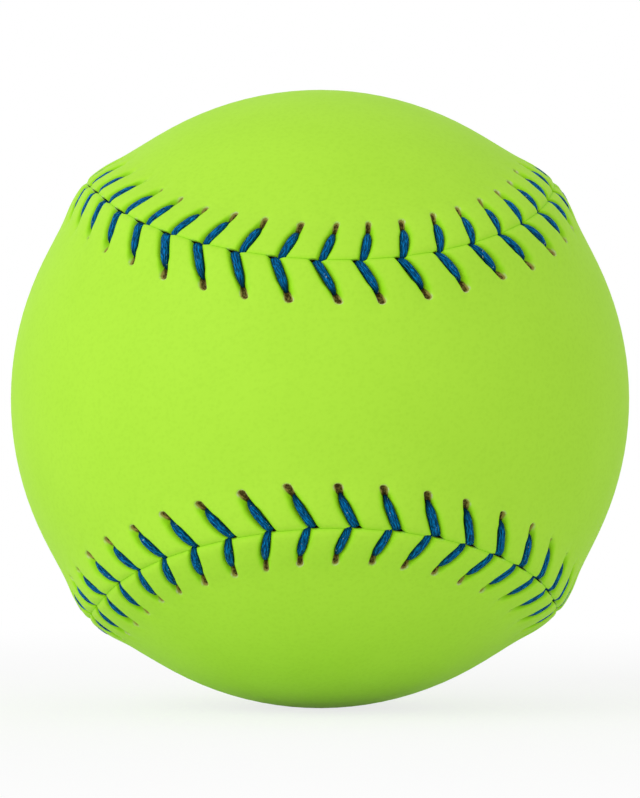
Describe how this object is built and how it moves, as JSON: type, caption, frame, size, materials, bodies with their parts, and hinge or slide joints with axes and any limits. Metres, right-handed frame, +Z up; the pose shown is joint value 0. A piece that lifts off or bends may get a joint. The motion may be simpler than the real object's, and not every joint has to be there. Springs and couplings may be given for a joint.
{
  "type": "softball",
  "caption": "Raised-seam softball: a foam core in a latex coat, under figure-eight synthetic leather covers sewn edge to edge with waxed thread.",
  "frame": {"origin": "centre of the ball", "axes": "+Z up, -Y towards the front, where the narrow waist of the front cover faces; the ball looks the same after half a turn about Y"},
  "size_m": [0.097, 0.097, 0.097],
  "materials": {
    "cover_leather": "satin",
    "backing_cloth": "matte",
    "latex": "satin",
    "core_foam": "matte",
    "waxed_thread": "satin"
  },
  "bodies": {
    "root": {"core": "core_foam", "latex_coat": "latex", "front_backing": "backing_cloth", "back_backing": "backing_cloth", "front_cover": "cover_leather", "back_cover": "cover_leather", "first_thread": "waxed_thread", "second_thread": "waxed_thread"}
  },
  "joints": []
}
